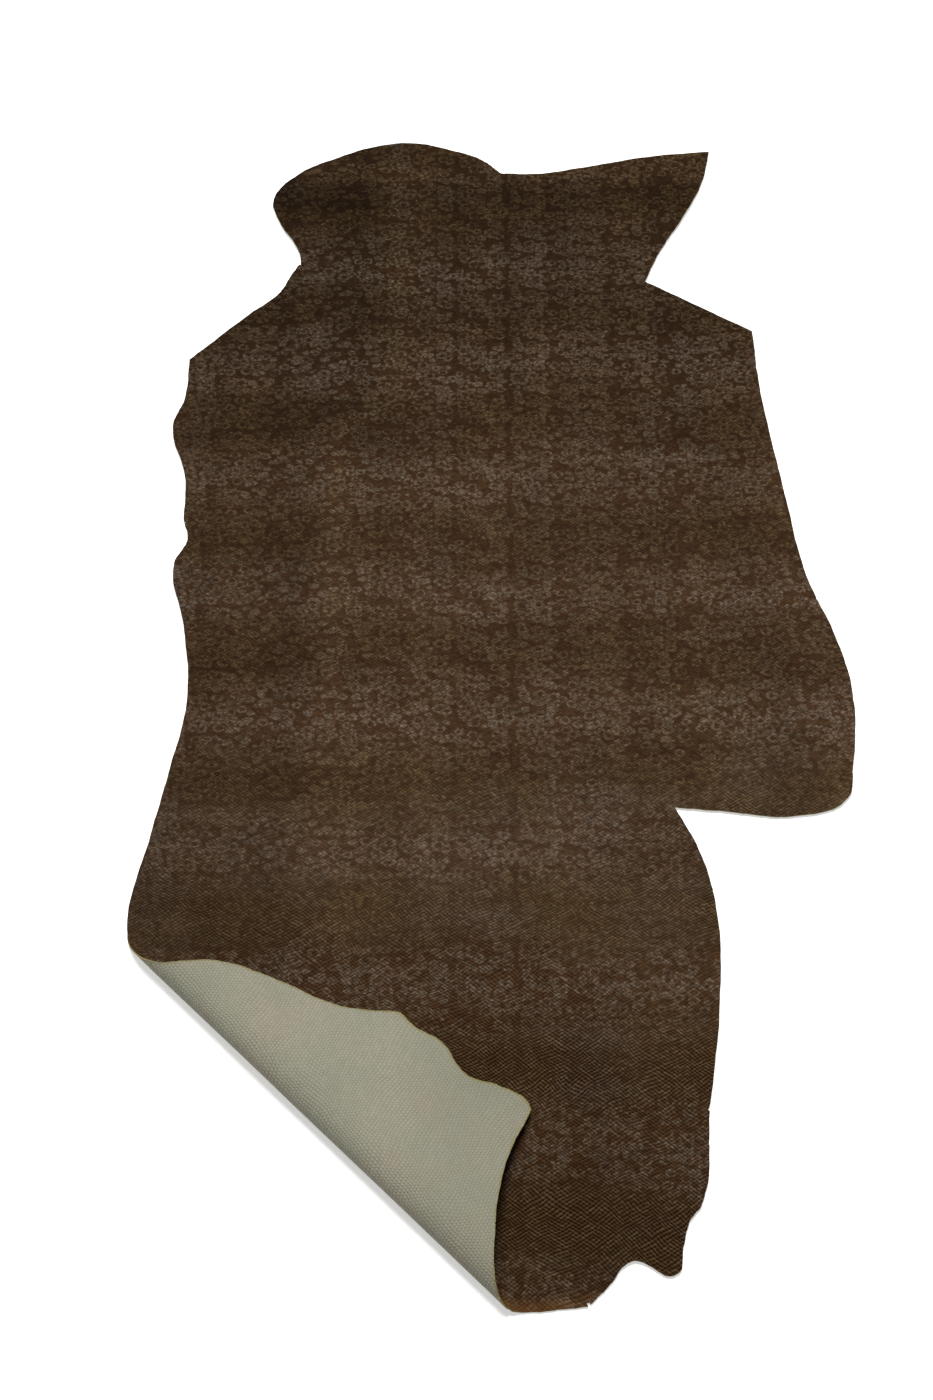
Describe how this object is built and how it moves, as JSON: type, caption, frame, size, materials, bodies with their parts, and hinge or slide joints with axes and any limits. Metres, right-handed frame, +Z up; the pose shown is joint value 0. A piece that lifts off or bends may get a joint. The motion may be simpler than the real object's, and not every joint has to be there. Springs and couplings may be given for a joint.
{
  "type": "leather hide",
  "caption": "Whole calf hide with its natural outline, embossed scale grain side up, lying flat with one corner folded over to show the flesh side.",
  "frame": {"origin": "middle of the folded hide's outline seen from above, at the surface it lies on", "axes": "+Y along the length towards the neck, +X towards the belly, +Z up from the surface"},
  "size_m": [0.7172, 1.3997, 0.0274],
  "materials": {
    "grain": "dark brown grain side embossed with small scales and faintly mottled, satin; sage grey flesh side"
  },
  "bodies": {
    "root": {"hide": "grain"}
  },
  "joints": []
}
